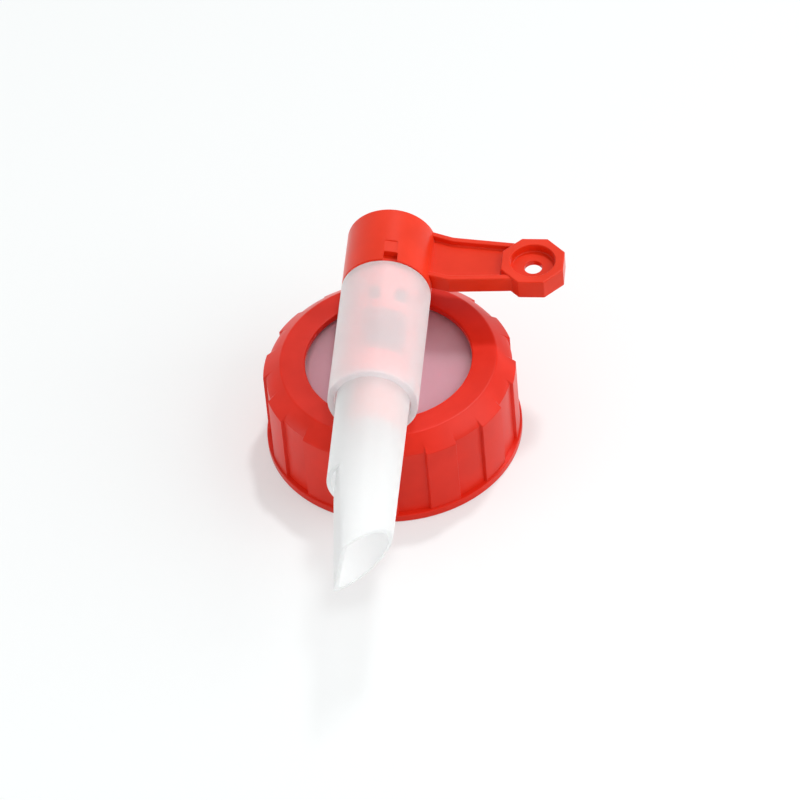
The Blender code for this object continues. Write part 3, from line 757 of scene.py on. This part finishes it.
def body_inlets(body, plug):
    """Return the solids of the liquid inlet and the two air inlets."""
    low = body.disc_top - body.disc_thickness - body.ring_depth - REACH
    high = AXIS_HEIGHT - 2 * MM
    # The liquid inlet is this much smaller than the plug's window on each side
    margin = 0.8 * MM
    liquid = (0.0, plug.window_half - margin, plug.window_back + margin, plug.window_front - margin)
    tools = []
    for turn, half, back, front in (liquid, *AIR_PORTS):
        middle = -body.barrel_bore * math.sin(PORT_TURN + turn)
        outline = block(middle - half, middle + half, -front, -back, 0.8 * MM, 6)
        tools.append(prism("inlet", outline, low, high, PEDESTAL_FRAME))
    return tools


class TAP_OT_tap_body(bpy.types.Operator):
    """Make the clear flange, pedestal and barrel"""

    bl_idname = "tap.tap_body"
    bl_label = "Tap Body"

    def execute(self, context):
        settings = context.scene.jerrycan_tap
        body = settings.body
        under = body.disc_top - body.disc_thickness
        ring_low = under - body.ring_depth
        ring_inside = body.ring_radius - body.ring_wall
        flange = rounded([
            (ring_inside - 2 * MM, body.disc_top),
            (body.disc_radius, body.disc_top, 0.4 * MM),
            (body.disc_radius, under, 0.3 * MM),
            (body.ring_radius, under, 0.3 * MM),
            (body.ring_radius, ring_low, 0.4 * MM),
            (ring_inside, ring_low, 0.4 * MM),
            (ring_inside, under),
        ])
        item = turned("clear_body", flange, NECK_FRAME, 160)

        def foot(inset):
            half = body.pedestal_half - inset
            return block(-half, half, inset - body.pedestal_front, body.pedestal_back - inset,
                         4.5 * MM - inset, 8)

        flare = 0.8 * MM
        levels = [(-flare, body.disc_top - 1 * MM)]
        levels += [(-inset, body.disc_top + drop) for inset, drop in quarter(flare, 5)]
        levels += [(0, AXIS_HEIGHT - 1 * MM)]
        pedestal = raised("pedestal", foot, levels, PEDESTAL_FRAME)
        rim = 0.45 * MM
        front = body.barrel_front
        back = -body.barrel_back
        outer = body.barrel_radius
        profile = [*bend(outer, front, -1, -1, rim, 5), *bend(outer, back, -1, 1, rim, 5)]
        barrel = turned("barrel", profile, BARREL_FRAME, FACETS)
        lip = 0.01 * MM
        inner = body.barrel_bore
        profile = [
            (inner + rim, front + 1 * MM),
            *bend(inner, front + lip, 1, -1, rim, 5),
            *bend(inner, back - lip, 1, 1, rim, 5),
            (inner + rim, back - 1 * MM),
        ]
        bore = turned("bore", profile, BARREL_FRAME, FACETS, phase=0.5)
        carve(item, "UNION", pedestal, barrel)
        carve(item, "DIFFERENCE", bore, *body_inlets(body, settings.plug))
        clear = clear_body("natural_polypropylene_body", settings.colours)
        dress(item, clear, "tap_body", "tap_body")
        return {"FINISHED"}


# The plug with its lever


def side_frame(turn):
    """Return the frame whose z axis leaves the plug's side at a turn from its ports."""
    return PORT_FRAME @ Matrix.Rotation(turn, 4, "Z") @ Matrix.Rotation(-math.pi / 2, 4, "X")


def plug_ports(plug, spout):
    """Return the solids that open the plug: channels, chamber, window and air ports."""
    far = plug.spigot_front + REACH
    overlap = 0.3 * MM
    liquid = d_ring(plug.bore_radius, plug.spigot_flat - plug.spigot_wall)
    air = crescent(spout.channel_radius, spout.flat)
    chamber = [(plug.spigot_radius, 2.5 * MM), (plug.spigot_radius, -5.1 * MM)]
    tools = [
        prism("liquid_bore", liquid, plug.window_back - overlap, far, PORT_FRAME),
        prism("air_bore", air, chamber[1][1] - overlap, far, PORT_FRAME),
        turned("air_chamber", chamber, PORT_FRAME, 96),
    ]

    def opening(bottom, turn, half, back, front):
        outline = block(-half, half, -front, -back, 0.5 * MM)
        return prism("port", outline, bottom, plug.radius + REACH, side_frame(turn))

    low = math.sqrt(plug.bore_radius ** 2 - plug.window_half ** 2) - overlap
    tools.append(opening(low, 0.0, plug.window_half, plug.window_back, plug.window_front))
    return tools + [opening(plug.spigot_radius - 1 * MM, *port) for port in AIR_PORTS]


def d_ring(radius, flat):
    """Return points round a circle with a flat on its left."""
    # A high power keeps the corners beside the flat tight
    power = 36
    points = []
    for index in range(FACETS):
        turn = 2 * math.pi * (index + 0.5) / FACETS
        reach = radius
        if math.cos(turn) < 0:
            reach = ((1 / radius) ** power + (-math.cos(turn) / flat) ** power) ** (-1 / power)
        points.append(polar(reach, turn))
    return points


def crescent(radius, flat):
    """Return the crescent between a flat and the round wall on its left."""
    reach = math.acos(flat / radius)
    turns = [math.pi + reach * (index / 12 - 1) for index in range(25)]
    arc = [polar(radius, turn) for turn in turns]
    top, bottom = arc[0][1], arc[-1][1]
    return arc + [(-flat, bottom + (top - bottom) * index / 8) for index in range(1, 8)]


def arm_outline(plug, margin, start, end):
    """Return the arm's outline from above, drawn in by a margin on its long sides."""
    root = plug.arm_root
    waist = root + plug.arm_shoulder
    end_half = plug.arm_end / 2 - margin
    waist_half = plug.arm_waist / 2 - margin
    line = plug.lever_line
    waist_line = line + math.tan(plug.arm_sweep) * (plug.lever_reach - waist)
    near_root = waist_line - waist_half + plug.arm_draw
    far_root = waist_line + waist_half + plug.arm_flare
    return rounded([
        (start, near_root),
        (root, near_root),
        (waist, waist_line - waist_half, 1.5 * MM),
        (end, line - end_half),
        (end, line + end_half),
        (waist, waist_line + waist_half, 6.6 * MM),
        (root, far_root),
        (start, far_root),
    ], 6)


def octagon(across, inset):
    """Return an eight sided outline with small rounds at its corners."""
    reach = (across / 2 - inset) / math.cos(math.pi / 8)
    turns = [math.pi / 8 + math.pi / 4 * index for index in range(8)]
    return rounded([(*polar(reach, turn), 0.45 * MM) for turn in turns])


def lever_arm(plug):
    """Return the arm: a plate with a raised rim along each side, above and below its web."""
    top = plug.lever_top - 0.4 * MM
    bottom = top - plug.arm_thickness
    start = 8.5 * MM
    arm = raised("arm", lambda inset: arm_outline(plug, inset, start, plug.lever_reach),
                 both_edges(bottom, top, plug.edge_round), LEVER_FRAME)
    fillet = 0.5 * MM
    flare = 0.25 * MM

    def pocket(inset):
        return arm_outline(plug, plug.arm_rim + inset, start - 1 * MM, plug.lever_reach + 1 * MM)

    depth = plug.arm_floor
    profile = quarter(fillet)
    profile += [(-inset, depth + 0.02 * MM - drop) for inset, drop in reversed(quarter(flare))]
    profile += [(-flare, depth + 1 * MM)]
    floors = []
    for face, side in ((top, 1), (bottom, -1)):
        levels = [(inset, face + side * (rise - depth)) for inset, rise in profile]
        floors.append(raised("floor", pocket, levels, LEVER_FRAME))
    return carve(arm, "DIFFERENCE", *floors)


def lever_head(plug):
    """Return the eight sided head and the spool that sinks its eye."""
    place = LEVER_FRAME @ Matrix.Translation((plug.lever_reach, plug.lever_line, plug.lever_top))
    head = raised("head", lambda inset: octagon(plug.head_across, inset),
                  both_edges(-plug.head_thickness, 0.0, plug.edge_round), place)
    web_top = -plug.eye_depth
    web_low = web_top - plug.head_web
    low = -plug.head_thickness
    radius = plug.eye_radius
    hole = plug.hole_radius
    flare = 0.3 * MM
    lip = 0.02 * MM
    nudge = 0.001 * MM
    corner = 0.4 * MM
    edge = 0.25 * MM
    profile = [
        (radius + flare, 1 * MM),
        *bend(radius, lip, 1, -1, flare),
        *bend(radius, web_top, -1, 1, corner),
        *bend(hole, web_top + nudge, 1, -1, edge),
        *bend(hole, web_low - nudge, 1, 1, edge),
        *bend(radius, web_low, -1, -1, corner),
        *bend(radius, low - lip, 1, 1, flare),
        (radius + flare, low - 1 * MM),
    ]
    return head, turned("eye", profile, place, 96)


class TAP_OT_lever_plug(bpy.types.Operator):
    """Make the plug with its ports, end cap and lever"""

    bl_idname = "tap.lever_plug"
    bl_label = "Lever and Plug"

    def execute(self, context):
        settings = context.scene.jerrycan_tap
        plug = settings.plug
        cap_radius = settings.body.barrel_radius
        cap_back = -plug.cap_front - plug.cap_length
        profile = [
            *bend(plug.spigot_radius, plug.spigot_front, -1, -1, 0.4 * MM),
            (plug.spigot_radius, plug.front),
            *bend(plug.radius, plug.front, -1, -1, 0.3 * MM),
            (plug.radius, -plug.cap_front),
            *bend(cap_radius, -plug.cap_front, -1, -1, 0.35 * MM),
            *bend(cap_radius, cap_back, -1, 1, 0.5 * MM),
        ]
        item = turned("lever_plug_moulding", profile, BARREL_FRAME, FACETS)
        wide = 12 * MM
        left, right = -wide - REACH, -plug.spigot_flat
        flat = prism("spigot_flat", [(left, -wide), (right, -wide), (right, wide), (left, wide)],
                     plug.front + 0.15 * MM, plug.spigot_front + REACH, PORT_FRAME)
        front = plug.cap_front
        place = side_frame(plug.notch_turn)
        far = cap_radius + REACH
        half = plug.notch_half
        end = front + plug.notch_length
        outline = rounded([(-half, front - 0.15 * MM), (half, front - 0.15 * MM),
                           (half, end, 0.3 * MM), (-half, end, 0.3 * MM)])
        notch = prism("notch", outline, cap_radius - plug.notch_depth, far, place)
        outline = block(-1.9 * MM, 1.6 * MM, front + plug.mark_start, front + plug.mark_end,
                        0.4 * MM)
        mark = prism("mark", outline, cap_radius - plug.mark_depth, far, place)
        inside = cap_radius - plug.cap_wall
        step = -front - plug.cap_wall
        hollow = [
            (plug.spigot_radius, -6.8 * MM),
            (plug.spigot_radius, step),
            (inside, step),
            *bend(inside, cap_back - 0.01 * MM, 1, 1, 0.5 * MM),
            (inside + 0.5 * MM, cap_back - REACH),
        ]
        core = turned("core", hollow, BARREL_FRAME, FACETS, phase=0.5)
        carve(item, "DIFFERENCE", notch, mark, flat, *plug_ports(plug, settings.spout))
        head, eye = lever_head(plug)
        carve(item, "UNION", lever_arm(plug), head)
        carve(item, "DIFFERENCE", eye, core)
        red = moulded_red("red_hdpe_plug", settings.colours.plug_red, roughness=0.38)
        dress(item, red, "plug", "lever_plug")
        return {"FINISHED"}


# The spout


def spout_flat(spout, place):
    """Return how far the flat side lies from the spout's axis at a place along it."""
    return spout.flat - math.tan(spout.flat_slope) * max(0.0, place - spout.step)


def spout_radius(spout, place):
    """Return the spout's outer radius at a place along it."""
    share = (place - spout.root) / (spout.tip - spout.root)
    return spout.root_radius + (spout.tip_radius - spout.root_radius) * share


def slanted_ring(spout, share, back, section):
    """Return one ring of the spout; at share 1 it lies in the slanted mouth, moved back.

    The section gives (radius, flat) at a place along the axis.
    """
    tip_flat = spout_flat(spout, spout.tip)
    places = [spout.root + share * (spout.tip - spout.root)] * FACETS
    # The slant sets the places from the section, and the section depends on the places
    for _ in range(6):
        ring = [d_ring(*section(place))[index] for index, place in enumerate(places)]
        ends = [spout.tip - back - (x + tip_flat) / math.tan(spout.mouth_slant) for x, _ in ring]
        places = [spout.root + share * (end - spout.root) for end in ends]
    return [(x, y, place) for (x, y), place in zip(ring, places)]


class TAP_OT_spout_tube(bpy.types.Operator):
    """Make the spout with its two channels, step and slanted mouth"""

    bl_idname = "tap.spout_tube"
    bl_label = "Spout Tube"

    def execute(self, context):
        settings = context.scene.jerrycan_tap
        spout = settings.spout
        thin = 0.02 * MM
        # Where the rings stand, in shares of the spout's length
        shares = [0.0, 0.15, 0.3, 0.44, 0.5, 0.56, 0.64, 0.72, 0.8, 0.88, 0.95]

        def outer(inset):
            return lambda place: (spout_radius(spout, place) - inset,
                                  spout_flat(spout, place) - thin - inset)

        def inner(outset):
            return lambda place: (spout.channel_radius + outset,
                                  spout_flat(spout, place) - spout.partition + outset)

        rings = [slanted_ring(spout, share, 0.0, outer(0.0)) for share in shares]
        rings += [slanted_ring(spout, 1.0, drop, outer(inset))
                  for inset, drop in reversed(quarter(spout.lip_round, 5))]
        item = skin("spout_moulding", rings, PORT_FRAME)
        # The round part before the step stands over the flat side and holds the air channel
        reach = math.acos((spout.flat - 0.5 * MM) / spout.root_radius)
        turns = [math.pi - reach + 2 * reach * index / 40 for index in range(41)]

        def swell(place, inset):
            radius = spout_radius(spout, place) + 0.01 * MM - inset
            return [(*polar(radius, turn), place) for turn in turns]

        levels = [swell(spout.root + 0.01 * MM, 0.0)]
        levels += [swell(spout.step - drop, inset) for inset, drop in reversed(quarter(0.3 * MM))]
        carve(item, "UNION", skin("swell", levels, PORT_FRAME))
        lip = 0.3 * MM
        liquid = [slanted_ring(spout, share, 0.0, inner(0.0)) for share in shares[1:]]
        liquid.insert(0, [(x, y, spout.root - 1 * MM) for x, y in d_ring(*inner(0.0)(spout.root))])
        liquid += [slanted_ring(spout, 1.0, drop - 0.02 * MM, inner(inset))
                   for inset, drop in reversed(quarter(lip, 5))]
        liquid += [slanted_ring(spout, 1.0, -1 * MM, inner(lip))]
        air = prism("air", crescent(spout.channel_radius, spout.flat), spout.root - 1 * MM,
                    spout.step + 1 * MM, PORT_FRAME)
        carve(item, "DIFFERENCE", skin("liquid", liquid, PORT_FRAME), air)
        colours = settings.colours
        white = natural_white("natural_ldpe_spout", colours.spout, colours.spout_glow)
        dress(item, white, "plug", "spout_tube")
        return {"FINISHED"}


# The stage


def add_lamp(name, kind, energy, place, **settings):
    """Add a lamp that shines on the tap from its place."""
    data = bpy.data.lights.new(name, kind)
    data.energy = energy
    for key, value in settings.items():
        setattr(data, key, value)
    lamp = add_object(name, data)
    lamp.location = place
    lamp.rotation_mode = "QUATERNION"
    lamp.rotation_quaternion = Vector(place).to_track_quat("Z", "Y")


class TAP_OT_stage(bpy.types.Operator):
    """Make the floor, the lamps, the sky and the camera"""

    bl_idname = "tap.stage"
    bl_label = "Stage"

    def execute(self, context):
        settings = context.scene.jerrycan_tap
        stage = settings.stage
        scene = context.scene
        half, low = 3.0, -0.02 * MM
        mesh = bpy.data.meshes.new("paper")
        corners = [(-half, -half, low), (half, -half, low), (half, half, low), (-half, half, low)]
        mesh.from_pydata(corners, [], [(0, 1, 2, 3)])
        floor = add_object("paper_floor", mesh)
        floor.data.materials.append(stage_paper("matt_paper", stage, settings.cap.bore_radius))

        add_lamp("key", "SUN", stage.key_strength, (0.2, 0.5, 1.0), angle=stage.key_angle)
        add_lamp("side", "AREA", stage.side_watts, (0.50, -0.05, 0.42), size=0.45)
        add_lamp("fill", "AREA", stage.fill_watts, (-0.50, -0.16, 0.07), size=0.30)

        world = bpy.data.worlds.new("studio")
        scene.world = world
        world.use_nodes = True
        tree = world.node_tree
        tree.nodes.clear()
        direction = add_node(tree, "TexCoord").outputs["Generated"]
        lean = add_node(tree, "VectorMath", {
            0: direction, 1: stage.sky_lean}, operation="DOT_PRODUCT").outputs["Value"]
        soft = calculated(tree, "ADD", lean, stage.sky_strength)
        strength = mapped(tree, background_rays(tree, "Transmission"), 0.0, 1.0, soft, 1.0)
        sky = add_node(tree, "Background", {"Color": (1.0, 1.0, 1.0), "Strength": strength})
        add_node(tree, "OutputWorld", {"Surface": sky.outputs[0]})

        # The camera's axes: to the right, up, and back from the target
        azimuth, elevation = stage.azimuth, stage.elevation
        right = Vector((*polar(1, azimuth), 0))
        back = right.cross((0, 0, 1)) * math.cos(elevation) + Vector((0, 0, math.sin(elevation)))
        up = back.cross(right)
        target = NECK + right * stage.aim_right + up * stage.aim_up
        place = Matrix((right, up, back)).transposed().to_4x4()
        place.translation = target + back * stage.distance
        data = bpy.data.cameras.new("camera")
        data.lens = stage.lens
        data.sensor_width = 36
        data.clip_start = 0.1
        data.clip_end = 20
        camera = add_object("camera", data)
        camera.matrix_world = place @ Matrix.Rotation(stage.roll, 4, "Z")
        scene.camera = camera
        scene.view_settings.view_transform = "Standard"
        return {"FINISHED"}


class TAP_PT_panel(bpy.types.Panel):
    """Buttons that make the pieces of the tap"""

    bl_idname = "TAP_PT_panel"
    bl_label = "Jerrycan Tap"
    bl_space_type = "VIEW_3D"
    bl_region_type = "UI"
    bl_category = "Tap"

    def draw(self, context):
        for operator in OPERATORS:
            self.layout.operator(operator.bl_idname)


OPERATORS = (TAP_OT_screw_cap, TAP_OT_neck_gasket, TAP_OT_tap_body, TAP_OT_lever_plug,
             TAP_OT_spout_tube, TAP_OT_stage)
CLASSES = (CapSizes, BodySizes, PlugSizes, SpoutSizes, FinishColours, StageSettings, TapSettings,
           *OPERATORS, TAP_PT_panel)


def register():
    """Register the settings, the operators and the panel."""
    for item in CLASSES:
        bpy.utils.register_class(item)
    bpy.types.Scene.jerrycan_tap = group(TapSettings)


def unregister():
    """Remove the settings, the operators and the panel."""
    del bpy.types.Scene.jerrycan_tap
    for item in reversed(CLASSES):
        bpy.utils.unregister_class(item)


def main():
    """Make every piece and the stage."""
    register()
    bpy.ops.tap.stage()
    bpy.ops.tap.screw_cap()
    bpy.ops.tap.neck_gasket()
    bpy.ops.tap.tap_body()
    bpy.ops.tap.lever_plug()
    bpy.ops.tap.spout_tube()


if __name__ == "__main__":
    main()
